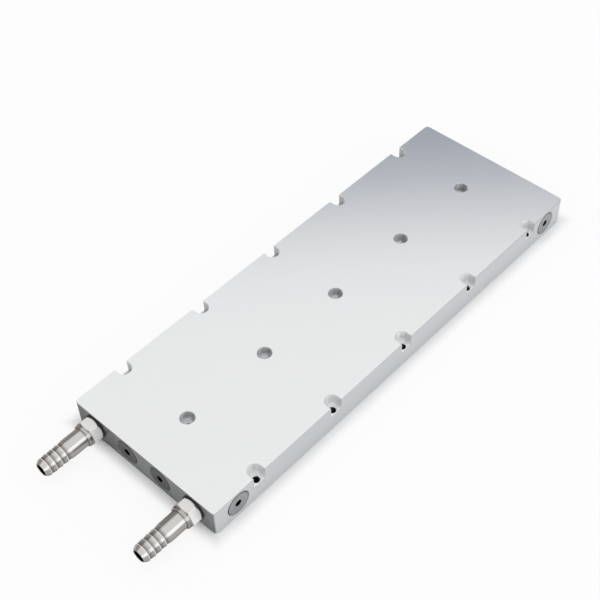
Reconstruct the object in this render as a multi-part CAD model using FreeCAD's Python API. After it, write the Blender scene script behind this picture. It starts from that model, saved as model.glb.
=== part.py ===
import FreeCAD, Part
import math
import os

# Liquid cooling cold plate, in millimetres.
# An aluminium block is gun-drilled with four lengthwise coolant channels. Two cross bores join the
# channels near their ends, and press-in baffles turn them into one serpentine path. The outer two
# channels end in hose barbs on the front face, and flush screw plugs close every other drilled mouth.
# The origin is the centre of the block's underside: +X runs to the rear, +Y to the left, +Z up.

Vector = FreeCAD.Vector

# ---- driving dimensions -------------------------------------------------------------------------

# block
BLOCK_LENGTH = 312.0
BLOCK_WIDTH = 110.0
BLOCK_THICKNESS = 19.0
CORNER_RADIUS = 2.5
EDGE_BREAK = 0.3

# screw holes: three rows of five, whose head pockets run out of the sides in the outer rows
HOLES_PER_ROW = 5
HOLE_PITCH = 61.0
EDGE_HOLE_INSET = 3.3
POCKET_RADIUS = 4.3
POCKET_DEPTH = 8.3
SCREW_HOLE_RADIUS = 2.15
RIM_CHAMFER = 0.25

# coolant channels, each drilled a little past the middle of the last bore that it meets
CHANNEL_RADIUS = 4.0
CHANNEL_PITCH = 26.0
CHANNEL_BELOW_TOP = 8.75
CROSS_BORE_RADIUS = 3.75
CROSS_BORE_FROM_END = 17.5
DRILL_POINT_ANGLE = 118.0
DRILL_OVERRUN = 1.0

# screw plug ports, and the plugs and seals in them
PORT_RADIUS = 7.8
PORT_DEPTH = 9.5
PORT_CHAMFER = 0.25
PLUG_RADIUS = 7.7
PLUG_LENGTH = 8.0
PLUG_FACE_CHAMFER = 0.2
PLUG_LEAD_CHAMFER = 0.8
SOCKET_ACROSS_FLATS = 4.0
SOCKET_DEPTH = 4.5
SOCKET_CHAMFER = 0.25
PLUG_SEAL_INNER_RADIUS = 5.2
PLUG_SEAL_OUTER_RADIUS = 7.2

# baffles inside the cross bores, with the clearance that stands for their press fit
BAFFLE_CLEARANCE = 0.01
BAFFLE_LENGTH = 12.0
BAFFLE_CHAMFER = 0.6

# hose barbs, with heights measured out from the block's front face
FITTING_PORT_RADIUS = 4.86
FITTING_PORT_DEPTH = 11.0
FITTING_PORT_CHAMFER = 0.35
STUB_RADIUS = 4.84
STUB_LENGTH = 9.6
STUB_CHAMFER = 0.8
UNDERCUT_RADIUS = 4.25
UNDERCUT_LENGTH = 1.2
HEX_ACROSS_FLATS = 14.0
HEX_BACK_FACE_RADIUS = 6.8
HEX_BACK_CHAMFER_ANGLE = 45.0
HEX_FRONT = 7.0
HEX_FRONT_CHAMFER_ANGLE = 30.0
COLLAR_RADIUS = 6.95
COLLAR_FRONT = 9.7
COLLAR_ROUND = 0.9
SHANK_RADIUS = 5.85
SHANK_FRONT = 20.5
BARB_COUNT = 4
BARB_FIRST_EDGE = 24.1
BARB_PITCH = 3.8
BARB_CREST_RADIUS = 5.65
LAST_BARB_CREST_RADIUS = 5.5
BARB_ROOT_RADIUS = 5.15
BARB_LAND = 0.2
NOSE_MIDDLE_RADIUS = 4.95
NOSE_MIDDLE_HEIGHT = 37.3
NOSE_TIP_RADIUS = 3.95
FITTING_REACH = 38.7
FITTING_BORE_RADIUS = 3.5
FITTING_MOUTH_CHAMFER = 0.2

# sealing washer under each hex
WASHER_THICKNESS = 0.7
WASHER_INNER_RADIUS = 5.3
WASHER_OUTER_RADIUS = 8.1

# hex corner angles of the two fittings once tightened, from +Y towards +Z
INLET_HEX_ANGLE = 53.5
OUTLET_HEX_ANGLE = 57.5

# ---- places worked out from them ----------------------------------------------------------------

FRONT_X = -BLOCK_LENGTH / 2
REAR_X = BLOCK_LENGTH / 2
RIGHT_Y = -BLOCK_WIDTH / 2
LEFT_Y = BLOCK_WIDTH / 2
CHANNEL_Z = BLOCK_THICKNESS - CHANNEL_BELOW_TOP
POCKET_FLOOR_Z = BLOCK_THICKNESS - POCKET_DEPTH

INNER_CHANNEL_Y = CHANNEL_PITCH / 2
OUTER_CHANNEL_Y = CHANNEL_PITCH * 1.5
FRONT_CROSS_X = FRONT_X + CROSS_BORE_FROM_END
REAR_CROSS_X = REAR_X - CROSS_BORE_FROM_END

EDGE_HOLE_Y = LEFT_Y - EDGE_HOLE_INSET
HOLE_XS = [(i - (HOLES_PER_ROW - 1) / 2) * HOLE_PITCH for i in range(HOLES_PER_ROW)]
HOLE_YS = (-EDGE_HOLE_Y, 0, EDGE_HOLE_Y)

HEX_CORNER_RADIUS = HEX_ACROSS_FLATS / 2 / math.cos(math.radians(30))
CUTTER_MARGIN = 5.0

# the way that a bore's mouth looks
TO_FRONT = "front"
TO_RIGHT = "right"


# ---- helpers ------------------------------------------------------------------------------------

class Outline:
    """A closed outline of lines and arcs in the (radius, height) plane, to be turned about Z."""

    def __init__(self, radius, height):
        self.start = Vector(radius, 0, height)
        self.end = self.start
        self.edges = []

    def line(self, radius, height):
        target = Vector(radius, 0, height)
        self.edges.append(Part.makeLine(self.end, target))
        self.end = target
        return self

    def arc(self, through_radius, through_height, radius, height):
        target = Vector(radius, 0, height)
        through = Vector(through_radius, 0, through_height)
        self.edges.append(Part.Arc(self.end, through, target).toShape())
        self.end = target
        return self

    def rounded_corner(self, corner_radius, corner_height, size, radius, height):
        """Runs towards a square corner, rounds it by size, and stops at the given point."""
        corner = Vector(corner_radius, 0, corner_height)
        target = Vector(radius, 0, height)
        way_in = (corner - self.end).normalize()
        way_out = (target - corner).normalize()
        before = corner - way_in * size
        after = corner + way_out * size
        centre = before + way_out * size
        middle = centre + (corner - centre).normalize() * size
        self.line(before.x, before.z)
        self.arc(middle.x, middle.z, after.x, after.z)
        if (target - after).Length > 1e-6:
            self.line(radius, height)
        return self

    def turned(self):
        if (self.end - self.start).Length > 1e-6:
            self.line(self.start.x, self.start.z)
        face = Part.Face(Part.Wire(self.edges))
        return face.revolve(Vector(0, 0, 0), Vector(0, 0, 1), 360)


def tangent(degrees):
    return math.tan(math.radians(degrees))


def at_mouth(shape, mouth, looks):
    """Turns a shape made along +Z to look out of a bore's mouth, and moves it there."""
    if looks == TO_FRONT:
        shape.rotate(Vector(0, 0, 0), Vector(0, 1, 0), -90)
    else:
        shape.rotate(Vector(0, 0, 0), Vector(1, 0, 0), 90)
    shape.translate(mouth)
    return shape


def hex_prism(across_flats, base, height, first_corner=0.0):
    corner_radius = across_flats / 2 / math.cos(math.radians(30))
    corners = []
    for i in range(7):
        angle = math.radians(first_corner + 60 * i)
        corners.append(Vector(corner_radius * math.cos(angle), corner_radius * math.sin(angle), base))
    return Part.Face(Part.makePolygon(corners)).extrude(Vector(0, 0, height))


def drilled(radius, depth):
    """A drill's cut along -Z, from above its mouth to a full-diameter depth and a drill point."""
    point = radius / tangent(DRILL_POINT_ANGLE / 2)
    return Outline(0, CUTTER_MARGIN).line(radius, CUTTER_MARGIN).line(radius, -depth) \
        .line(0, -depth - point).turned()


def countersink(radius, size):
    """A 45 degree cut that breaks the edge of a bore's mouth."""
    return Outline(0, size).line(radius + 2 * size, size).line(radius, -size).line(0, -size).turned()


def port(radius, depth, chamfer):
    """A flat-bottomed port, with the edge of its mouth broken."""
    bore = Part.makeCylinder(radius, depth + CUTTER_MARGIN, Vector(0, 0, -depth))
    return bore.fuse(countersink(radius, chamfer))


# ---- block --------------------------------------------------------------------------------------

def lies_at_height(edge, z):
    box = edge.BoundBox
    return abs(box.ZMin - z) < 1e-4 and abs(box.ZMax - z) < 1e-4


def is_upright(edge):
    box = edge.BoundBox
    return box.XLength < 1e-4 and box.YLength < 1e-4


def is_slot_mouth(edge):
    """True for the edges where a head pocket runs out through the block's side."""
    box = edge.BoundBox
    on_side = abs(abs(box.Center.y) - LEFT_Y) < 1e-4 and box.YLength < 1e-4
    return on_side and box.ZMin > POCKET_FLOOR_Z - 1e-4


def head_pocket(x, y):
    """Counterbore for a screw head. Beside an edge it runs out of the block's side as a slot."""
    pocket = Part.makeCylinder(POCKET_RADIUS, POCKET_DEPTH + CUTTER_MARGIN, Vector(x, y, POCKET_FLOOR_Z))
    if y == 0:
        return pocket
    run_out = EDGE_HOLE_INSET + CUTTER_MARGIN
    near_y = y if y > 0 else y - run_out
    slot = Part.makeBox(2 * POCKET_RADIUS, run_out, POCKET_DEPTH + CUTTER_MARGIN,
                        Vector(x - POCKET_RADIUS, near_y, POCKET_FLOOR_Z))
    return pocket.fuse(slot).removeSplitter()


def screw_hole(x, y):
    """Clearance hole through the floor of a pocket, with its rim in the pocket broken."""
    hole = Part.makeCylinder(SCREW_HOLE_RADIUS, POCKET_FLOOR_Z + 2 * CUTTER_MARGIN,
                             Vector(0, 0, -CUTTER_MARGIN))
    rim = countersink(SCREW_HOLE_RADIUS, RIM_CHAMFER)
    rim.translate(Vector(0, 0, POCKET_FLOOR_Z))
    hole = hole.fuse(rim)
    hole.translate(Vector(x, y, 0))
    return hole


def machined_block():
    """The outside of the block with its head pockets, and every outer edge broken."""
    block = Part.makeBox(BLOCK_LENGTH, BLOCK_WIDTH, BLOCK_THICKNESS, Vector(FRONT_X, RIGHT_Y, 0))
    block = block.makeFillet(CORNER_RADIUS, [e for e in block.Edges if is_upright(e)])
    for x in HOLE_XS:
        for y in HOLE_YS:
            block = block.cut(head_pocket(x, y))
    outer_edges = []
    for edge in block.Edges:
        if lies_at_height(edge, 0) or lies_at_height(edge, BLOCK_THICKNESS) or is_slot_mouth(edge):
            outer_edges.append(edge)
    return block.makeChamfer(EDGE_BREAK, outer_edges)


def lengthwise_channels():
    channel_depth = BLOCK_LENGTH - CROSS_BORE_FROM_END + DRILL_OVERRUN
    cutters = []
    for y in (-OUTER_CHANNEL_Y, -INNER_CHANNEL_Y, INNER_CHANNEL_Y, OUTER_CHANNEL_Y):
        mouth = Vector(FRONT_X, y, CHANNEL_Z)
        cutters.append(at_mouth(drilled(CHANNEL_RADIUS, channel_depth), mouth, TO_FRONT))
        if abs(y) == OUTER_CHANNEL_Y:
            end = port(FITTING_PORT_RADIUS, FITTING_PORT_DEPTH, FITTING_PORT_CHAMFER)
        else:
            end = port(PORT_RADIUS, PORT_DEPTH, PORT_CHAMFER)
        cutters.append(at_mouth(end, mouth, TO_FRONT))
    return cutters


def cross_bores():
    """The front bore reaches the third channel from the right, and the rear bore all four."""
    cutters = []
    for x, last_channel_y in ((FRONT_CROSS_X, INNER_CHANNEL_Y), (REAR_CROSS_X, OUTER_CHANNEL_Y)):
        mouth = Vector(x, RIGHT_Y, CHANNEL_Z)
        depth = last_channel_y - RIGHT_Y + DRILL_OVERRUN
        cutters.append(at_mouth(drilled(CROSS_BORE_RADIUS, depth), mouth, TO_RIGHT))
        cutters.append(at_mouth(port(PORT_RADIUS, PORT_DEPTH, PORT_CHAMFER), mouth, TO_RIGHT))
    return cutters


def plate_block():
    block = machined_block()
    for x in HOLE_XS:
        for y in HOLE_YS:
            block = block.cut(screw_hole(x, y))
    for cutter in lengthwise_channels() + cross_bores():
        block = block.cut(cutter)
    return block


# ---- hose barb and its washer -------------------------------------------------------------------

def chamfered_hex(first_corner):
    """Hex bar between the washer and the collar, with its corners turned off at both ends."""
    corner_rise = HEX_CORNER_RADIUS - HEX_BACK_FACE_RADIUS
    back_corner = WASHER_THICKNESS + corner_rise * tangent(HEX_BACK_CHAMFER_ANGLE)
    front_face = HEX_FRONT + (HEX_CORNER_RADIUS - COLLAR_RADIUS) * tangent(HEX_FRONT_CHAMFER_ANGLE)
    envelope = Outline(0, WASHER_THICKNESS).line(HEX_BACK_FACE_RADIUS, WASHER_THICKNESS) \
        .line(HEX_CORNER_RADIUS, back_corner).line(HEX_CORNER_RADIUS, HEX_FRONT) \
        .line(COLLAR_RADIUS, front_face).line(0, front_face).turned()
    return hex_prism(HEX_ACROSS_FLATS, 0, COLLAR_FRONT, first_corner).common(envelope)


def turned_barb():
    """Threaded stub, collar, shank, saw-tooth barbs and nose, turned in one outline."""
    form = Outline(0, -STUB_LENGTH)
    form.line(STUB_RADIUS - STUB_CHAMFER, -STUB_LENGTH)
    form.line(STUB_RADIUS, -STUB_LENGTH + STUB_CHAMFER)
    form.line(STUB_RADIUS, -UNDERCUT_LENGTH)
    form.line(UNDERCUT_RADIUS, -UNDERCUT_LENGTH + STUB_RADIUS - UNDERCUT_RADIUS)
    form.line(UNDERCUT_RADIUS, HEX_FRONT / 2)
    form.line(COLLAR_RADIUS, HEX_FRONT / 2)
    form.rounded_corner(COLLAR_RADIUS, COLLAR_FRONT, COLLAR_ROUND, SHANK_RADIUS, COLLAR_FRONT)
    form.line(SHANK_RADIUS, SHANK_FRONT)
    form.line(BARB_ROOT_RADIUS, BARB_FIRST_EDGE)
    for i in range(BARB_COUNT):
        is_last = i == BARB_COUNT - 1
        crest_radius = LAST_BARB_CREST_RADIUS if is_last else BARB_CREST_RADIUS
        edge_height = BARB_FIRST_EDGE + i * BARB_PITCH
        form.line(crest_radius, edge_height)
        form.line(crest_radius, edge_height + BARB_LAND)
        if not is_last:
            form.line(BARB_ROOT_RADIUS, edge_height + BARB_PITCH)
    form.arc(NOSE_MIDDLE_RADIUS, NOSE_MIDDLE_HEIGHT, NOSE_TIP_RADIUS, FITTING_REACH)
    form.line(0, FITTING_REACH)
    return form.turned()


def hose_barb(y, hex_angle):
    # a corner at hex_angle from +Y towards +Z starts at 90 degrees less that, before it is turned
    body = turned_barb().fuse(chamfered_hex(90 - hex_angle))
    bore = Part.makeCylinder(FITTING_BORE_RADIUS, STUB_LENGTH + FITTING_REACH + 2 * CUTTER_MARGIN,
                             Vector(0, 0, -STUB_LENGTH - CUTTER_MARGIN))
    mouth = countersink(FITTING_BORE_RADIUS, FITTING_MOUTH_CHAMFER)
    mouth.translate(Vector(0, 0, FITTING_REACH))
    body = body.cut(bore).cut(mouth).removeSplitter()
    return at_mouth(body, Vector(FRONT_X, y, CHANNEL_Z), TO_FRONT)


def ring(inner_radius, outer_radius, base, height):
    """Flat ring standing on the given base height."""
    outer = Part.makeCylinder(outer_radius, height, Vector(0, 0, base))
    return outer.cut(Part.makeCylinder(inner_radius, height, Vector(0, 0, base)))


def sealing_washer(y):
    """Flat rubber washer squeezed between the block and the hex."""
    washer = ring(WASHER_INNER_RADIUS, WASHER_OUTER_RADIUS, 0, WASHER_THICKNESS)
    return at_mouth(washer, Vector(FRONT_X, y, CHANNEL_Z), TO_FRONT)


# ---- flush plugs, their seals, and the inner baffles --------------------------------------------

def screw_plug(mouth, looks):
    """Flush plug with a hexagon socket, whose face lies level with the block."""
    body = Outline(0, -PLUG_LENGTH).line(PLUG_RADIUS - PLUG_LEAD_CHAMFER, -PLUG_LENGTH) \
        .line(PLUG_RADIUS, -PLUG_LENGTH + PLUG_LEAD_CHAMFER).line(PLUG_RADIUS, -PLUG_FACE_CHAMFER) \
        .line(PLUG_RADIUS - PLUG_FACE_CHAMFER, 0).line(0, 0).turned()
    socket = hex_prism(SOCKET_ACROSS_FLATS, -SOCKET_DEPTH, SOCKET_DEPTH + CUTTER_MARGIN)
    pilot = drilled(SOCKET_ACROSS_FLATS / 2, SOCKET_DEPTH)
    lead_in = countersink(SOCKET_ACROSS_FLATS / 2, SOCKET_CHAMFER)
    body = body.cut(socket).cut(pilot).cut(lead_in)
    return at_mouth(body, mouth, looks)


def plug_seal(mouth, looks):
    """Square-section seal squeezed between the plug's inner end and the floor of its port."""
    seal = ring(PLUG_SEAL_INNER_RADIUS, PLUG_SEAL_OUTER_RADIUS, -PORT_DEPTH, PORT_DEPTH - PLUG_LENGTH)
    return at_mouth(seal, mouth, looks)


def cross_baffle(x, y):
    """Press-in pin that blocks a cross bore between two channels, centred at the given place."""
    radius = CROSS_BORE_RADIUS - BAFFLE_CLEARANCE
    half = BAFFLE_LENGTH / 2
    pin = Outline(0, -half).line(radius - BAFFLE_CHAMFER, -half).line(radius, -half + BAFFLE_CHAMFER) \
        .line(radius, half - BAFFLE_CHAMFER).line(radius - BAFFLE_CHAMFER, half).line(0, half).turned()
    return at_mouth(pin, Vector(x, y, CHANNEL_Z), TO_RIGHT)


# ---- assembly -----------------------------------------------------------------------------------

PLUG_MOUTHS = {
    "front_left_plug": (Vector(FRONT_X, INNER_CHANNEL_Y, CHANNEL_Z), TO_FRONT),
    "front_right_plug": (Vector(FRONT_X, -INNER_CHANNEL_Y, CHANNEL_Z), TO_FRONT),
    "side_front_plug": (Vector(FRONT_CROSS_X, RIGHT_Y, CHANNEL_Z), TO_RIGHT),
    "side_rear_plug": (Vector(REAR_CROSS_X, RIGHT_Y, CHANNEL_Z), TO_RIGHT),
}


def cold_plate():
    pieces = {
        "plate_block": plate_block(),
        "inlet_hose_barb": hose_barb(OUTER_CHANNEL_Y, INLET_HEX_ANGLE),
        "outlet_hose_barb": hose_barb(-OUTER_CHANNEL_Y, OUTLET_HEX_ANGLE),
        "inlet_sealing_washer": sealing_washer(OUTER_CHANNEL_Y),
        "outlet_sealing_washer": sealing_washer(-OUTER_CHANNEL_Y),
        "front_cross_baffle": cross_baffle(FRONT_CROSS_X, -CHANNEL_PITCH),
        "rear_cross_baffle": cross_baffle(REAR_CROSS_X, 0),
    }
    for name, (mouth, looks) in PLUG_MOUTHS.items():
        pieces[name] = screw_plug(mouth, looks)
        pieces[name + "_seal"] = plug_seal(mouth, looks)
    return pieces


def main():
    os.makedirs("parts", exist_ok=True)
    for name, shape in cold_plate().items():
        solid = shape.Solids[0]
        if len(shape.Solids) != 1 or not solid.isValid():
            raise ValueError(name + " is not one valid solid")
        solid.exportStep("parts/" + name + ".step")
        print(name, round(solid.Volume, 1), "mm3")


main()
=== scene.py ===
import math

import bmesh
import bpy
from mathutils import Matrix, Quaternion, Vector


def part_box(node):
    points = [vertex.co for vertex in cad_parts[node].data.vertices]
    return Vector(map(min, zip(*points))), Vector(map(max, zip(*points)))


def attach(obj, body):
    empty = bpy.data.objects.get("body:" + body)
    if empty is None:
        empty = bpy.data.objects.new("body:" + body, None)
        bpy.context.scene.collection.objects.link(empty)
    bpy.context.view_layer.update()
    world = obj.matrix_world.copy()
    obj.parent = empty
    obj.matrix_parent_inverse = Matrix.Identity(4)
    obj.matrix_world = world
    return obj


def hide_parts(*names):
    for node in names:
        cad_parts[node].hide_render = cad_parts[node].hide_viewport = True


# Looks of the liquid cooling cold plate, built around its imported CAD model.
# Every length in the scene is in metres. The sizes below and the places that the finishes work
# with are in millimetres, and MM turns them into metres.

MM = 0.001

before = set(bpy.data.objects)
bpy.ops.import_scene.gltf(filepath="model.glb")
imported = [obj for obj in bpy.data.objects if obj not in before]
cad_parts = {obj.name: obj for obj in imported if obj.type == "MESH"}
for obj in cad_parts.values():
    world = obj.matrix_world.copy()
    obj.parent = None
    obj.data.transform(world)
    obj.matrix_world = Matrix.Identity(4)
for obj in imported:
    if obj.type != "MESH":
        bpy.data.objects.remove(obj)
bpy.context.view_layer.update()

BLOCK_LOW, BLOCK_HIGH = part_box("plate_block")
BODY = "root"

# the way that a turned part points away from the block
TO_FRONT = Vector((-1, 0, 0))
TO_RIGHT = Vector((0, -1, 0))


# ---- sizes of the turned parts and of the block, in millimetres ---------------------------------

EDGE_SOFTNESS = 0.05
THREAD_END = 0.3

CHANNEL_BELOW_TOP = 8.75
POCKET_DEPTH = 8.3
CORNER_RADIUS = 2.5

STUB_LENGTH = 9.6
STUB_RADIUS = 4.84
STUB_THREAD_DEPTH = 0.55
STUB_THREAD_PITCH = 0.907
UNDERCUT_RADIUS = 4.25
UNDERCUT_LENGTH = 1.2
UNDERCUT_RAMP = 0.1
WASHER_THICKNESS = 0.7
WASHER_INNER_RADIUS = 5.3
WASHER_OUTER_RADIUS = 8.1
HEX_ACROSS_FLATS = 14.0
HEX_BACK_FACE_RADIUS = 6.8
HEX_CORNER_RADIUS = HEX_ACROSS_FLATS / 2 / math.cos(math.radians(30))
HEX_CORNER_FLAT = 0.05
HEX_FRONT = 7.0
HEX_FRONT_SLOPE = math.tan(math.radians(30))
COLLAR_RADIUS = 6.95
COLLAR_FRONT = 9.7
COLLAR_ROUND = 0.9
SHANK_RADIUS = 5.85
SHANK_FRONT = 20.5
BARB_COUNT = 4
BARB_FIRST_EDGE = 24.1
BARB_PITCH = 3.8
BARB_CREST_RADIUS = 5.65
LAST_BARB_CREST_RADIUS = 5.5
BARB_ROOT_RADIUS = 5.15
BARB_LAND = 0.2
NOSE_MIDDLE_RADIUS = 4.95
NOSE_MIDDLE_HEIGHT = 37.3
NOSE_TIP_RADIUS = 3.95
FITTING_REACH = 38.7
FITTING_BORE_RADIUS = 3.5
FITTING_MOUTH_CHAMFER = 0.2
INLET_HEX_ANGLE = 53.5
OUTLET_HEX_ANGLE = 57.5

PLUG_RADIUS = 7.7
PLUG_LENGTH = 8.0
PLUG_THREAD_DEPTH = 0.75
PLUG_THREAD_PITCH = 1.5
PLUG_FACE_CHAMFER = 0.25
PLUG_EDGE_SOFTNESS = 0.08
PLUG_LIP = 0.9
SOCKET_ACROSS_FLATS = 4.0
SOCKET_CORNER_FLAT = 0.02
SOCKET_DEPTH = 4.5
SOCKET_CHAMFER = 0.25
SOCKET_MOUTH_RADIUS = SOCKET_ACROSS_FLATS / 2 + SOCKET_CHAMFER + 0.25
SOCKET_FLOOR_RADIUS = SOCKET_ACROSS_FLATS / 2 * 0.96
SOCKET_DRILL_POINT = 1.1

# how finely the turned parts are divided, and the angle from which an edge is drawn sharp
STEPS_PER_HEX_SIDE = 14
BESIDE_HEX_CORNER = math.radians(1.0)
SHARP_ANGLE = math.radians(26)

# the fittings' axes: how far they lie from the block's middle plane, and their height
FITTING_AXIS_Y = 39.0
FITTING_AXIS_Z = BLOCK_HIGH.z / MM - CHANNEL_BELOW_TOP

# the block's ends and sides, measured from its middle, its top, and the floor of its screw pockets
END_X = BLOCK_HIGH.x / MM
SIDE_Y = BLOCK_HIGH.y / MM
TOP_Z = BLOCK_HIGH.z / MM
POCKET_FLOOR_Z = TOP_Z - POCKET_DEPTH

# ---- shader maths -------------------------------------------------------------------------------


class Value:
    """A number that varies over a surface: Python arithmetic on it adds Math nodes."""

    def __init__(self, finish, socket):
        self.finish = finish
        self.socket = socket

    def __abs__(self):
        return self.math("ABSOLUTE")

    def __neg__(self):
        return self * -1.0

    def math(self, operation, *others, swap=False):
        inputs = [self, *others]
        if swap:
            inputs.reverse()
        return self.finish.node("ShaderNodeMath", {"operation": operation}, *inputs)

    def __add__(self, other):
        return self.math("ADD", other)

    def __sub__(self, other):
        return self.math("SUBTRACT", other)

    def __rsub__(self, other):
        return self.math("SUBTRACT", other, swap=True)

    def __mul__(self, other):
        return self.math("MULTIPLY", other)

    __radd__ = __add__
    __rmul__ = __mul__

    def clamped(self):
        return self.math("MAXIMUM", 0.0).math("MINIMUM", 1.0)

    def between(self, low, high):
        """0 below low, 1 above high, and smooth from one to the other."""
        return self.finish.node("ShaderNodeMapRange", {"interpolation_type": "SMOOTHSTEP"},
                                Value=self, From_Min=low, From_Max=high)


class Finish:
    """One material, or the world, with the calls that add nodes to it."""

    def __init__(self, tree):
        self.tree = tree
        self.tree.nodes.clear()

    def node(self, kind, settings=None, *inputs, out=0, **named):
        """Adds a node. Its settings come first, then its inputs by place or by name."""
        made = self.tree.nodes.new(kind)
        for key, setting in (settings or {}).items():
            setattr(made, key, setting)
        for place, given in enumerate(inputs):
            self.feed(made.inputs[place], given)
        for name, given in named.items():
            self.feed(made.inputs[name.replace("_", " ")], given)
        return Value(self, made.outputs[out])

    def feed(self, socket, given):
        if isinstance(given, Value):
            self.tree.links.new(given.socket, socket)
        else:
            socket.default_value = given

    def split(self, vector):
        parts = self.node("ShaderNodeSeparateXYZ", {}, vector).socket.node.outputs
        return [Value(self, parts[axis]) for axis in "XYZ"]

    def axes(self):
        """The place on the object along X, Y and Z, in millimetres."""
        place = self.node("ShaderNodeTexCoord", out="Object")
        return self.split(self.node("ShaderNodeVectorMath", {"operation": "SCALE"}, place,
                                    Scale=1 / MM))

    def facing(self):
        """The way that the surface faces along X, Y and Z, from -1 to 1."""
        return self.split(self.node("ShaderNodeNewGeometry", out="Normal"))

    def point(self, x, y, z):
        return self.node("ShaderNodeCombineXYZ", {}, x, y, z)

    def noise(self, point, scale, detail=2.0, roughness=0.5):
        return self.node("ShaderNodeTexNoise", {}, Vector=point, Scale=scale, Detail=detail,
                         Roughness=roughness)

    def blend(self, share, first, second):
        """Colour that goes from first to second as share goes from 0 to 1."""
        mix = self.tree.nodes.new("ShaderNodeMix")
        mix.data_type = "RGBA"
        self.feed(mix.inputs["Factor"], share)
        for name, given in (("A", first), ("B", second)):
            socket = next(s for s in mix.inputs if s.name == name and s.type == "RGBA")
            self.feed(socket, given)
        return Value(self, next(s for s in mix.outputs if s.type == "RGBA"))

    def bump(self, height, depth_mm):
        return self.node("ShaderNodeBump", {}, Strength=1.0, Distance=depth_mm * MM, Height=height)

    def surface(self, **inputs):
        self.output(self.node("ShaderNodeBsdfPrincipled", {}, **inputs))

    def output(self, shader, kind="ShaderNodeOutputMaterial"):
        end = self.tree.nodes.new(kind)
        self.tree.links.new(shader.socket, end.inputs["Surface"])


def material(name):
    made = bpy.data.materials.new(name)
    made.use_nodes = True
    return made, Finish(made.node_tree)


def grey(level, warmth=0.0):
    """A neutral colour, a little redder for positive warmth and a little bluer for negative."""
    return (level * (1 + warmth), level, level * (1 - warmth), 1.0)


def mottled(*noises, middle=0.5):
    """A share from 0 to 1 that wanders about its middle. Each noise comes with its weight."""
    share = middle
    for noise, weight in noises:
        share = (noise - 0.5) * weight + share
    return share.clamped()


# ---- finishes -----------------------------------------------------------------------------------

# Pairs hold the darker and the paler tone that a finish wanders between.
FACE_TONES = grey(0.83, -0.006), grey(0.88, -0.004)
# sides and rear end painted darker than the faces, as shade
SIDE_SHADE_TONES = grey(0.57, -0.036), grey(0.63, -0.032)
# front end painted dark, as shade, with streaks
FRONT_SHADE_TONES = grey(0.065, -0.02), grey(0.215, -0.045)
# pocket walls, with bands of painted reflection
RECESS_REFLECTION_TONES = grey(0.86, -0.01), grey(0.99, -0.004)
# left row of pockets painted darker, as shade
LEFT_RECESS_SHADE_TONE = grey(0.40, -0.01)
# screw holes painted dark, as shade
SHADED_WALL_TONE = grey(0.46, -0.01)
SCREW_HOLE_SHADE_TONE = grey(0.06)
# chamfers painted darker, as shade that dims their reflected light
EDGE_SHADE_TONE = grey(0.35)
# front plugs painted far darker than the side plugs, as shade
FRONT_PLUG_SHADE_TONE = 0.03
SIDE_PLUG_TONE = 0.36
# hexagon sockets painted dark, as shade
PLUG_SOCKET_SHADE_TONE = grey(0.015)
STEEL_TONE = 0.66
STEEL_TONES = grey(STEEL_TONE * 0.84, 0.042), grey(STEEL_TONE * 1.06, 0.032)
# painted light and shade on the fittings: a darker lower side, a dark band, a highlight line,
# shade at the collar and the foot of each tooth, bright tooth crests and a dark bore
STEEL_LOWER_SHADE_TONE = grey(STEEL_TONE * 0.35)
STEEL_SHADE_BAND_TONE = grey(STEEL_TONE * 0.24, 0.07)
STEEL_HIGHLIGHT_LINE_TONE = grey(0.98, 0.01)
STEEL_COLLAR_SHADE_TONE = grey(STEEL_TONE * 0.22, 0.05)
STEEL_ROOT_SHADE_TONE = grey(STEEL_TONE * 0.16, 0.08)
STEEL_CREST_HIGHLIGHT_TONE = grey(0.93, 0.02)
STEEL_BORE_SHADE_TONE = grey(0.012)
STEEL_TINT = (0.45, 0.38, 0.34, 1.0)
# hex flats painted light: the upper ones pale, those facing right white as a painted highlight
HEX_UPPER_PAINTED_LIGHT_TONE = grey(0.86, 0.024)
HEX_RIGHT_HIGHLIGHT_TONE = grey(1.0, 0.01)
RUBBER_TONES = grey(0.012), grey(0.03)

# how far from the middle the outer rows of screw pockets begin
OUTER_ROW = (30.0, 40.0)

# how squarely a surface faces a way, and how close it lies to the block's ends and sides
FACES_THAT_WAY = (0.35, 0.80)
AT_END = (END_X - 1.2, END_X - 0.25)
AT_SIDE = (SIDE_Y - 0.35, SIDE_Y - 0.25)

# where the painted band of shade and the painted highlight line run along a fitting: angles from
# its left, over its top
SHADE_BAND_ANGLE = math.radians(70)
HIGHLIGHT_LINE_ANGLE = math.radians(138)


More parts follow.
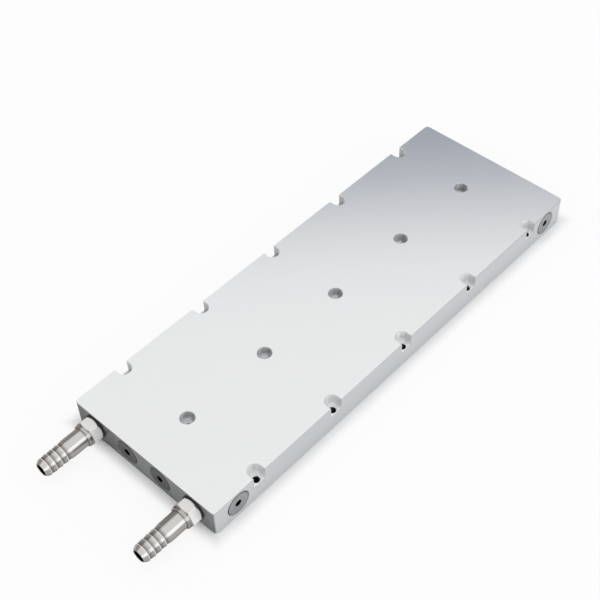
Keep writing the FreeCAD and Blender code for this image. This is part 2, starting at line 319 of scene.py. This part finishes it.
def milled_aluminium():
    """Satin block: clouded faces, sides and rear end painted darker and a streaked front end
    painted dark, as shade.

    Its pocket walls carry bands of painted reflection, its left row of pockets is painted darker
    than its right row as shade, and its screw holes are painted dark as shade."""
    made, finish = material("milled_aluminium")
    x, y, z = finish.axes()
    facing_x, facing_y, facing_z = finish.facing()
    upright = abs(facing_z)
    place = finish.point(x, y, z)
    cloud = finish.noise(place, scale=0.03, detail=3.0)
    blotch = finish.noise(place, scale=0.06, detail=1.0)
    speckle = finish.noise(place, scale=2.2, roughness=0.6)
    bands = finish.noise(finish.point(x, y, 0.0), scale=0.7, roughness=0.6)
    streak = finish.noise(finish.point(x * 0.1, y * 0.12, z * 3.5), scale=1.0, roughness=0.6)
    grain = finish.noise(finish.point(x * 0.15, y * 4.0, z * 4.0), scale=1.0, detail=3.0,
                         roughness=0.6)

    # the bored walls, below the broken edge of the top and above that of the underside
    recess = z.between(0.3, 0.8) * (1 - z.between(TOP_Z - 0.45, TOP_Z - 0.30))
    right_row = recess * (-y).between(*OUTER_ROW)
    # pocket walls, with bands of painted reflection
    bored = finish.blend(mottled((bands, 3.0)), *RECESS_REFLECTION_TONES)
    # the left row of pockets painted darker, as shade
    bored = finish.blend(y.between(*OUTER_ROW) * 0.55, bored, LEFT_RECESS_SHADE_TONE)
    shaded_wall = (-facing_x).between(0.84, 1.0) * (1 - right_row * 0.5)
    bored = finish.blend(shaded_wall, bored, SHADED_WALL_TONE)
    # the screw holes below the pocket floors painted dark, as shade
    screw_hole_shade = 1 - z.between(POCKET_FLOOR_Z - 0.6, POCKET_FLOOR_Z - 0.1)
    bored = finish.blend(screw_hole_shade, bored, SCREW_HOLE_SHADE_TONE)

    # the outer faces
    mottle = mottled((cloud, 0.4), (grain, 0.2))
    on_side = abs(facing_y).between(*FACES_THAT_WAY) * abs(y).between(*AT_SIDE)
    on_rear = facing_x.between(*FACES_THAT_WAY) * x.between(*AT_END)
    on_front = (-facing_x).between(0.35, 0.85) * (-x).between(*AT_END)
    on_corner = abs(x).between(END_X - CORNER_RADIUS - 0.2, END_X - CORNER_RADIUS) \
        * abs(y).between(SIDE_Y - CORNER_RADIUS - 0.2, SIDE_Y - CORNER_RADIUS) \
        * (1 - upright.between(*FACES_THAT_WAY))
    # sides, rear end and rounded corners painted darker than the top, as shade
    side_shade = on_side.math("MAXIMUM", on_rear).math("MAXIMUM", on_corner)
    # the front end painted dark as shade, and darker still towards the left
    left_front_shade = y.between(34.0, 56.0) * 0.5
    front_shade_mottle = mottled((blotch, 1.2), (streak, 0.9), middle=0.55 - left_front_shade)
    # chamfers painted darker, as shade that dims their reflected light
    edge_shade = upright.between(0.5, 0.65) * (1 - upright.between(0.78, 0.9))

    colour = finish.blend(recess, finish.blend(mottle, *FACE_TONES), bored)
    colour = finish.blend(side_shade, colour, finish.blend(mottle, *SIDE_SHADE_TONES))
    colour = finish.blend(on_front, colour, finish.blend(front_shade_mottle, *FRONT_SHADE_TONES))
    colour = finish.blend(edge_shade * 0.4, colour, EDGE_SHADE_TONE)
    finish.surface(
        Base_Color=colour,
        Metallic=1 - recess * 0.30 - right_row * 0.35,
        Roughness=0.11 + cloud * 0.03 + speckle * 0.04 + recess * 0.20,
        Normal=finish.bump(grain * 0.5 + speckle * 0.5, 0.002),
    )
    return made


def turned_steel():
    """Warm stainless steel: a lathe's fine rings, with painted light and shade: a darker lower
    side, a dark band, a highlight line, pale hex flats, shade at the collar and the foot of each
    tooth, bright crests and a dark bore.
    """
    made, finish = material("turned_stainless_steel")
    x, y, z = finish.axes()
    _, facing_y, facing_z = finish.facing()
    off_axis = abs(y) - FITTING_AXIS_Y
    off_height = z - FITTING_AXIS_Z
    radius = (off_axis * off_axis + off_height * off_height).math("SQRT")
    out = BLOCK_LOW.x / MM - x
    across = finish.noise(finish.point(x, y, z), scale=0.5)
    ring_place = x + across * 0.05
    fine_rings = finish.noise(finish.point(ring_place * 9.0, 0.0, 0.0), scale=1.0, roughness=0.7)
    broad_rings = finish.noise(finish.point(ring_place * 1.4, 3.0, 0.0), scale=1.0)
    colour = finish.blend(mottled((fine_rings, 0.8), (broad_rings, 0.4), (across, 0.4)),
                          *STEEL_TONES)

    # painted shade and light that go with the way the surface faces round the fitting's axis
    # the lower side painted darker, as shade
    lower = (1 - facing_z.between(0.45, 0.72)) * (1 - facing_y.between(0.2, 0.5) * 0.6)
    colour = finish.blend(lower * 0.58, colour, STEEL_LOWER_SHADE_TONE)
    round_axis = (facing_y * facing_y + facing_z * facing_z + 0.0001).math("SQRT")

    def faces(angle):
        along = facing_y * math.cos(angle) + facing_z * math.sin(angle)
        return along.math("DIVIDE", round_axis)

    # a band painted dark along the fitting, as shade
    colour = finish.blend(faces(SHADE_BAND_ANGLE).between(0.92, 1.0) * 0.75, colour, STEEL_SHADE_BAND_TONE)
    # a line painted bright along the fitting, as a highlight
    colour = finish.blend(faces(HIGHLIGHT_LINE_ANGLE).between(0.975, 1.0), colour, STEEL_HIGHLIGHT_LINE_TONE)

    # painted light and shade that go with the place along the fitting
    # the hex flats painted pale, and white where they face right, as a painted highlight
    hexagon = 1 - out.between(HEX_FRONT, HEX_FRONT + 0.2)
    right_highlight_share = (-facing_y).between(0.2, 0.7)
    colour = finish.blend(hexagon, colour, finish.blend(right_highlight_share, HEX_UPPER_PAINTED_LIGHT_TONE, HEX_RIGHT_HIGHLIGHT_TONE))
    # the collar painted darker, as shade
    collar = out.between(HEX_FRONT + 0.45, HEX_FRONT + 0.65) \
        * (1 - out.between(COLLAR_FRONT, COLLAR_FRONT + 1.3))
    colour = finish.blend(collar * 0.30, colour, STEEL_COLLAR_SHADE_TONE)
    tooth = ((out - BARB_FIRST_EDGE) * (1 / BARB_PITCH)).math("FRACT")
    last_edge = BARB_FIRST_EDGE + (BARB_COUNT - 1) * BARB_PITCH
    # the foot of each tooth painted dark, as shade under the next step
    root = tooth.between(0.25, 0.95) * out.between(SHANK_FRONT, SHANK_FRONT + 1.0) \
        * (1 - out.between(last_edge - 0.05, last_edge + 0.05))
    colour = finish.blend(root * 0.75, colour, STEEL_ROOT_SHADE_TONE)
    # the crest of each tooth painted bright, as a highlight
    crest = (1 - tooth.between(0.07, 0.12)) \
        * out.between(BARB_FIRST_EDGE - 0.1, BARB_FIRST_EDGE) \
        * (1 - out.between(last_edge + 0.6, last_edge + 0.8))
    colour = finish.blend(crest, colour, STEEL_CREST_HIGHLIGHT_TONE)
    # the bore painted dark, as shade inside it
    bore = 1 - radius.between(FITTING_BORE_RADIUS + 0.02, FITTING_BORE_RADIUS + 0.14)
    colour = finish.blend(bore, colour, STEEL_BORE_SHADE_TONE)
    finish.surface(
        Base_Color=colour,
        Metallic=1 - hexagon * right_highlight_share * 0.5,
        Roughness=0.22 + broad_rings * 0.08 + across * 0.05 + hexagon * 0.28,
        Normal=finish.bump(fine_rings, 0.03),
        Specular_Tint=STEEL_TINT,
    )
    return made


def faced_steel(name, centre, outward, tone):
    """Plug face with the concentric rings of a facing cut round its own centre, a dark ring
    painted as the shadow of the gap round it, and a socket painted dark as shade.
    """
    made, finish = material(name)
    x, y, z = finish.axes()
    off_height = z - centre.z / MM
    off_axis = y - centre.y / MM if outward == TO_FRONT else x - centre.x / MM
    radius = (off_axis * off_axis + off_height * off_height).math("SQRT")
    cloud = finish.noise(finish.point(x, y, z), scale=0.35, detail=3.0, roughness=0.6)
    rings = finish.noise(finish.point(radius * 5.0, cloud * 0.6, 0.0), scale=1.0, roughness=0.7)
    broad = finish.noise(finish.point(radius * 1.1, 5.0, 0.0), scale=1.0, detail=1.0)
    colour = finish.blend(mottled((rings, 1.3), (broad, 1.8), (cloud, 0.7)),
                          grey(tone * 0.70, -0.008), grey(tone * 1.15, -0.008))
    # a ring painted dark round the face's outer edge, as the shadow of the gap round the plug
    rim_shadow = radius.between(PLUG_RADIUS - 0.6, PLUG_RADIUS - 0.4)
    colour = finish.blend(rim_shadow, colour, grey(tone * 0.16, -0.005))
    # the hexagon socket painted dark, as shade
    socket = 1 - radius.between(SOCKET_ACROSS_FLATS / 2 + 0.1, SOCKET_ACROSS_FLATS / 2 + 0.3)
    colour = finish.blend(socket, colour, PLUG_SOCKET_SHADE_TONE)
    finish.surface(
        Base_Color=colour,
        Metallic=1.0,
        Roughness=0.24 + cloud * 0.12,
        Normal=finish.bump(rings, 0.05),
    )
    return made


def black_rubber():
    made, finish = material("black_rubber")
    x, y, z = finish.axes()
    speckle = finish.noise(finish.point(x, y, z), scale=3.0, detail=3.0, roughness=0.6)
    finish.surface(
        Base_Color=finish.blend(speckle, *RUBBER_TONES),
        Roughness=0.55 + speckle * 0.2,
        Normal=finish.bump(speckle, 0.01),
    )
    return made


# ---- turned pieces ------------------------------------------------------------------------------

def softened(points, softness=EDGE_SOFTNESS):
    """Rounds every inner corner of an outline of (radius, height) points, as a cut edge is.

    A point a little way along each straight side keeps its shading straight."""
    steps = 4
    soft = [points[0]]
    for before, corner, after in zip(points, points[1:], points[2:]):
        before, corner, after = Vector(before), Vector(corner), Vector(after)
        way_in, way_out = corner - before, after - corner
        setback = min(softness, way_in.length * 0.3, way_out.length * 0.3)
        start = corner - way_in.normalized() * setback
        end = corner + way_out.normalized() * setback
        soft.append(tuple(start - way_in.normalized() * setback * 0.5))
        for step in range(steps + 1):
            share = step / steps
            lower = start.lerp(corner, share)
            upper = corner.lerp(end, share)
            soft.append(tuple(lower.lerp(upper, share)))
        soft.append(tuple(end + way_out.normalized() * setback * 0.5))
    soft.append(points[-1])
    return soft


def arc_points(start, middle, end, steps):
    """Points of the circular arc from start through middle to end, without start itself."""
    (ax, ay), (bx, by), (cx, cy) = start, middle, end
    double_area = 2 * (ax * (by - cy) + bx * (cy - ay) + cx * (ay - by))
    a2, b2, c2 = ax * ax + ay * ay, bx * bx + by * by, cx * cx + cy * cy
    centre_x = (a2 * (by - cy) + b2 * (cy - ay) + c2 * (ay - by)) / double_area
    centre_y = (a2 * (cx - bx) + b2 * (ax - cx) + c2 * (bx - ax)) / double_area
    radius = math.hypot(ax - centre_x, ay - centre_y)
    first = math.atan2(ay - centre_y, ax - centre_x)
    turn = math.remainder(math.atan2(cy - centre_y, cx - centre_x) - first, 2 * math.pi)
    points = []
    for step in range(1, steps + 1):
        angle = first + turn * step / steps
        points.append((centre_x + radius * math.cos(angle), centre_y + radius * math.sin(angle)))
    return points


def hex_radius(angle, across_flats, first_corner, corner_flat):
    """Distance from a hexagon's axis to its side, with the corners a little blunted."""
    to_flat = math.remainder(angle - first_corner - math.radians(30), math.radians(60))
    corner_radius = across_flats / 2 / math.cos(math.radians(30))
    return min(across_flats / 2 / math.cos(to_flat), corner_radius - corner_flat)


def ring_angles(first_corner=0.0):
    """Angles round a ring, with extra ones close to each corner of a hexagon."""
    span = math.radians(60) - 2 * BESIDE_HEX_CORNER
    angles = []
    for side in range(6):
        corner = first_corner + math.radians(60) * side
        angles.append(corner)
        for step in range(STEPS_PER_HEX_SIDE + 1):
            angles.append(corner + BESIDE_HEX_CORNER + span * step / STEPS_PER_HEX_SIDE)
    return angles


def thread_rings(radius, depth, pitch, low, high):
    """Rings of a screw thread between two heights: its ridge climbs by one pitch in each turn."""
    steps_per_pitch = 8
    ridge_steepness = 1.15
    count = round((high - low) / pitch * steps_per_pitch)

    def ring_at(height):
        fade = min(1.0, (height - low) / pitch, (high - height) / pitch)

        def ring(angle):
            phase = (height / pitch - angle / (2 * math.pi)) % 1.0
            ridge = 1 - min(1.0, ridge_steepness * abs(2 * phase - 1))
            return radius - depth * (1 - fade * ridge), height
        return ring

    return [ring_at(low + (high - low) * step / count) for step in range(count + 1)]


def in_scene(name, data):
    made = bpy.data.objects.new(name, data)
    bpy.context.scene.collection.objects.link(made)
    return made


def turned_piece(name, rings, angles, mouth, outward, closed=False):
    """Turns rings about an axis. A ring is a (radius, height) pair, or a function of the angle."""
    turn = outward.to_track_quat("Z", "Y")
    mesh = bmesh.new()
    rows = []
    for ring in rings:
        fixed = not callable(ring)
        if fixed and ring[0] == 0:
            rows.append([mesh.verts.new(mouth + turn @ Vector((0, 0, ring[1] * MM)))])
            continue
        row = []
        for angle in angles:
            radius, height = ring if fixed else ring(angle)
            spoke = Vector((radius * math.cos(angle), radius * math.sin(angle), height)) * MM
            row.append(mesh.verts.new(mouth + turn @ spoke))
        rows.append(row)
    pairs = list(zip(rows, rows[1:]))
    if closed:
        pairs.append((rows[-1], rows[0]))
    for lower, upper in pairs:
        for k in range(len(angles)):
            following = (k + 1) % len(angles)
            if len(lower) == 1:
                mesh.faces.new((lower[0], upper[following], upper[k]))
            elif len(upper) == 1:
                mesh.faces.new((lower[k], lower[following], upper[0]))
            else:
                mesh.faces.new((lower[k], lower[following], upper[following], upper[k]))
    bmesh.ops.recalc_face_normals(mesh, faces=mesh.faces)
    data = bpy.data.meshes.new(name)
    mesh.to_mesh(data)
    mesh.free()
    data.polygons.foreach_set("use_smooth", [True] * len(data.polygons))
    data.set_sharp_from_angle(angle=SHARP_ANGLE)
    piece = in_scene(name, data)
    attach(piece, BODY)
    return piece


def dress(piece, finish, slot, *nodes):
    piece.data.materials.append(finish)
    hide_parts(*nodes)


def barb_outline():
    """Outside of the barb from the hex's front face to the tip, as (radius, height) points."""
    collar_start = HEX_FRONT + (HEX_CORNER_RADIUS - COLLAR_RADIUS) * HEX_FRONT_SLOPE
    points = [(COLLAR_RADIUS, collar_start), (COLLAR_RADIUS, COLLAR_FRONT - COLLAR_ROUND)]
    diagonal = COLLAR_ROUND * (1 - math.sqrt(0.5))
    points += arc_points(points[-1],
                         (COLLAR_RADIUS - diagonal, COLLAR_FRONT - diagonal),
                         (COLLAR_RADIUS - COLLAR_ROUND, COLLAR_FRONT), 6)
    points += [(SHANK_RADIUS, COLLAR_FRONT), (SHANK_RADIUS, SHANK_FRONT),
               (BARB_ROOT_RADIUS, BARB_FIRST_EDGE)]
    for tooth in range(BARB_COUNT):
        edge = BARB_FIRST_EDGE + tooth * BARB_PITCH
        is_last = tooth == BARB_COUNT - 1
        crest = LAST_BARB_CREST_RADIUS if is_last else BARB_CREST_RADIUS
        points += [(crest, edge), (crest, edge + BARB_LAND)]
        if not is_last:
            points.append((BARB_ROOT_RADIUS, edge + BARB_PITCH))
    points += arc_points(points[-1], (NOSE_MIDDLE_RADIUS, NOSE_MIDDLE_HEIGHT),
                         (NOSE_TIP_RADIUS, FITTING_REACH), 8)
    return points


def hose_barb(name, node, hex_angle):
    """One hollow turned piece: threaded stub, hex, collar, shank, teeth, nose and bore."""
    first_corner = math.radians(hex_angle)

    def hex_back(angle):
        radius = hex_radius(angle, HEX_ACROSS_FLATS, first_corner, HEX_CORNER_FLAT)
        return radius, WASHER_THICKNESS + radius - HEX_BACK_FACE_RADIUS

    def hex_front(angle):
        radius = hex_radius(angle, HEX_ACROSS_FLATS, first_corner, HEX_CORNER_FLAT)
        return radius, HEX_FRONT + (HEX_CORNER_RADIUS - radius) * HEX_FRONT_SLOPE

    thread_root = STUB_RADIUS - STUB_THREAD_DEPTH
    thread_start = THREAD_END - STUB_LENGTH
    stub_outline = [(FITTING_BORE_RADIUS, -STUB_LENGTH), (thread_root, -STUB_LENGTH),
                    (thread_root, thread_start)]
    threads = thread_rings(STUB_RADIUS, STUB_THREAD_DEPTH, STUB_THREAD_PITCH, thread_start,
                           -UNDERCUT_LENGTH)
    neck = [(UNDERCUT_RADIUS, UNDERCUT_RAMP - UNDERCUT_LENGTH),
            (UNDERCUT_RADIUS, WASHER_THICKNESS), (HEX_BACK_FACE_RADIUS, WASHER_THICKNESS)]
    tip = [(FITTING_BORE_RADIUS + FITTING_MOUTH_CHAMFER, FITTING_REACH),
           (FITTING_BORE_RADIUS, FITTING_REACH - FITTING_MOUTH_CHAMFER),
           (FITTING_BORE_RADIUS, 0.0)]
    rings = stub_outline + threads + neck + [hex_back, hex_front]
    rings += softened(barb_outline() + tip)
    low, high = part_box(node)
    mouth = Vector((BLOCK_LOW.x, (low.y + high.y) / 2, BLOCK_HIGH.z - CHANNEL_BELOW_TOP * MM))
    return turned_piece(name, rings, ring_angles(first_corner), mouth, TO_FRONT, closed=True)


def sealing_washer(name, node):
    """Thin rubber ring, bulged where it is squeezed between the block and the hex."""
    bulge = WASHER_THICKNESS / 2
    edge = WASHER_OUTER_RADIUS - bulge
    outline = [(WASHER_INNER_RADIUS, 0.0), (edge, 0.0)]
    outline += arc_points((edge, 0.0), (WASHER_OUTER_RADIUS, bulge), (edge, WASHER_THICKNESS), 8)
    outline.append((WASHER_INNER_RADIUS, WASHER_THICKNESS))
    low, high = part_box(node)
    middle = (low + high) / 2
    mouth = Vector((BLOCK_LOW.x, middle.y, middle.z))
    return turned_piece(name, outline, ring_angles(), mouth, TO_FRONT, closed=True)


def screw_plug(name, node, outward):
    """Flush plug: threaded side, chamfered face, and a hexagon socket with a drilled floor."""
    def socket_ring(height):
        return lambda angle: (hex_radius(angle, SOCKET_ACROSS_FLATS, 0.0, SOCKET_CORNER_FLAT),
                              height)

    core = PLUG_RADIUS - PLUG_THREAD_DEPTH
    thread_end = -PLUG_LIP - THREAD_END
    rings = [(0, -PLUG_LENGTH), (core, -PLUG_LENGTH)]
    rings += thread_rings(PLUG_RADIUS, PLUG_THREAD_DEPTH, PLUG_THREAD_PITCH, -PLUG_LENGTH,
                          thread_end)
    rings += softened([(core, thread_end), (PLUG_RADIUS, -PLUG_LIP),
                       (PLUG_RADIUS, -PLUG_FACE_CHAMFER), (PLUG_RADIUS - PLUG_FACE_CHAMFER, 0.0),
                       (SOCKET_MOUTH_RADIUS, 0.0)], PLUG_EDGE_SOFTNESS)
    rings += [socket_ring(-SOCKET_CHAMFER), socket_ring(-SOCKET_DEPTH),
              (SOCKET_FLOOR_RADIUS, -SOCKET_DEPTH), (0, -SOCKET_DEPTH - SOCKET_DRILL_POINT)]
    low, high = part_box(node)
    mouth = (low + high) / 2
    axis = 0 if outward == TO_FRONT else 1
    mouth[axis] = low[axis]
    return turned_piece(name, rings, ring_angles(), mouth, outward), mouth


# ---- studio -------------------------------------------------------------------------------------

CAMERA_PLACE = Vector((-0.352, -0.314, 0.543))
CAMERA_AIM = Vector((-0.0180, 0.0121, BLOCK_HIGH.z))
CAMERA_ROLL = math.radians(-2.18)
CAMERA_LENS = 70.98

# the pale ceiling leans to the front right, and the far left falls off to a cool grey
CEILING_TOWARDS = Vector((-0.25, -0.30, 0.92)).normalized()
CEILING_EDGE = (0.315, 0.402)
CEILING_COLOUR = (0.96, 0.96, 0.96, 1.0)
FAR_LEFT_COLOUR = (0.355, 0.385, 0.445, 1.0)
HORIZON_EDGE = (0.24, 0.58)
SOFTBOX_STRENGTH = 1.04
SOFTBOX_TOWARDS = Vector((0.27, -0.90, 0.34)).normalized()
SOFTBOX_EDGE = (math.cos(math.radians(21)), math.cos(math.radians(12)))
KEY_STRENGTH = 0.15
KEY_SPREAD = math.radians(22)
KEY_AZIMUTH = math.radians(-72.5)
KEY_ELEVATION = math.radians(26.4)
FLOOR_HALF = 15.0
FLOOR_PAINT = grey(0.93)
FLOOR_GLOW = 0.86

# the glow starts at the block's foot and is full this far from it, in millimetres
GLOW_EDGE = (-0.5, 9.0)


def set_camera():
    data = bpy.data.cameras.new("studio_camera")
    data.lens = CAMERA_LENS
    data.sensor_width = 36.0
    data.clip_start = 0.01
    data.clip_end = 50.0
    camera = in_scene("studio_camera", data)
    camera.location = CAMERA_PLACE
    camera.rotation_mode = "QUATERNION"
    looks = (CAMERA_AIM - CAMERA_PLACE).to_track_quat("-Z", "Y")
    camera.rotation_quaternion = looks @ Quaternion((0, 0, 1), CAMERA_ROLL)
    bpy.context.scene.camera = camera


def set_world():
    """Pale studio: a leaning ceiling, a white horizon and a softbox to the right."""
    world = bpy.data.worlds.new("studio")
    world.use_nodes = True
    bpy.context.scene.world = world
    finish = Finish(world.node_tree)
    direction = finish.node("ShaderNodeTexCoord", out="Generated")

    def towards(way):
        return finish.node("ShaderNodeVectorMath", {"operation": "DOT_PRODUCT"}, direction,
                           tuple(way), out="Value")

    ceiling = towards(CEILING_TOWARDS).between(*CEILING_EDGE)
    horizon = 1 - towards((0, 0, 1)).between(*HORIZON_EDGE)
    softbox = towards(SOFTBOX_TOWARDS).between(*SOFTBOX_EDGE)
    colour = finish.blend(ceiling.math("MAXIMUM", horizon), FAR_LEFT_COLOUR, CEILING_COLOUR)
    strength = 1 + softbox * (SOFTBOX_STRENGTH - 1)
    finish.output(finish.node("ShaderNodeBackground", {}, Color=colour, Strength=strength),
                  "ShaderNodeOutputWorld")


def set_key_light():
    data = bpy.data.lights.new("key", "SUN")
    data.energy = KEY_STRENGTH
    data.angle = KEY_SPREAD
    key = in_scene("key", data)
    key.visible_glossy = False
    key.rotation_mode = "QUATERNION"
    level = math.cos(KEY_ELEVATION)
    towards = Vector((math.cos(KEY_AZIMUTH) * level, math.sin(KEY_AZIMUTH) * level,
                      math.sin(KEY_ELEVATION)))
    key.rotation_quaternion = towards.to_track_quat("Z", "Y")


def set_floor():
    """Pale floor that glows white for the camera, but keeps the shadow close to the block."""
    made, finish = material("studio_floor")
    rays = [finish.node("ShaderNodeLightPath", out=kind)
            for kind in ("Is Camera Ray", "Is Glossy Ray", "Is Transmission Ray")]
    seen = (rays[0] + rays[1] + rays[2]).clamped()
    x, y, _ = finish.axes()
    from_block = (abs(x) - END_X).math("MAXIMUM", abs(y) - SIDE_Y)
    share = seen * from_block.between(*GLOW_EDGE) * FLOOR_GLOW
    paint = finish.node("ShaderNodeBsdfDiffuse", {}, Color=FLOOR_PAINT)
    glow = finish.node("ShaderNodeEmission", {}, Color=grey(1.0), Strength=1.0)
    finish.output(finish.node("ShaderNodeMixShader", {}, share, paint, glow))
    data = bpy.data.meshes.new("floor")
    corners = [(x_sign * FLOOR_HALF, y_sign * FLOOR_HALF, 0)
               for x_sign, y_sign in ((-1, -1), (1, -1), (1, 1), (-1, 1))]
    data.from_pydata(corners, [], [(0, 1, 2, 3)])
    data.materials.append(made)
    floor = in_scene("floor", data)


# ---- assembly -----------------------------------------------------------------------------------

def dress_cad_node(node, finish):
    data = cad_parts[node].data
    data.materials.clear()
    data.materials.append(finish)


def main():
    aluminium = milled_aluminium()
    steel = turned_steel()
    rubber = black_rubber()

    dress_cad_node("plate_block", aluminium)
    for node in ("front_cross_baffle", "rear_cross_baffle"):
        dress_cad_node(node, aluminium)

    for side, hex_angle in (("inlet", INLET_HEX_ANGLE), ("outlet", OUTLET_HEX_ANGLE)):
        node = side + "_hose_barb"
        dress(hose_barb(side + "_barb", node, hex_angle), steel, "hose_barb", node)
        node = side + "_sealing_washer"
        dress(sealing_washer(side + "_washer", node), rubber, "seal", node)

    for place, outward, tone in (("front_left", TO_FRONT, FRONT_PLUG_SHADE_TONE),
                                 ("front_right", TO_FRONT, FRONT_PLUG_SHADE_TONE),
                                 ("side_front", TO_RIGHT, SIDE_PLUG_TONE),
                                 ("side_rear", TO_RIGHT, SIDE_PLUG_TONE)):
        node = place + "_plug"
        plug, centre = screw_plug(place + "_screw_plug", node, outward)
        dress(plug, faced_steel(place + "_plug_steel", centre, outward, tone), "plug", node)
        dress_cad_node(node + "_seal", rubber)

    set_camera()
    set_world()
    set_key_light()
    set_floor()
    bpy.context.scene.view_settings.view_transform = "Standard"


main()
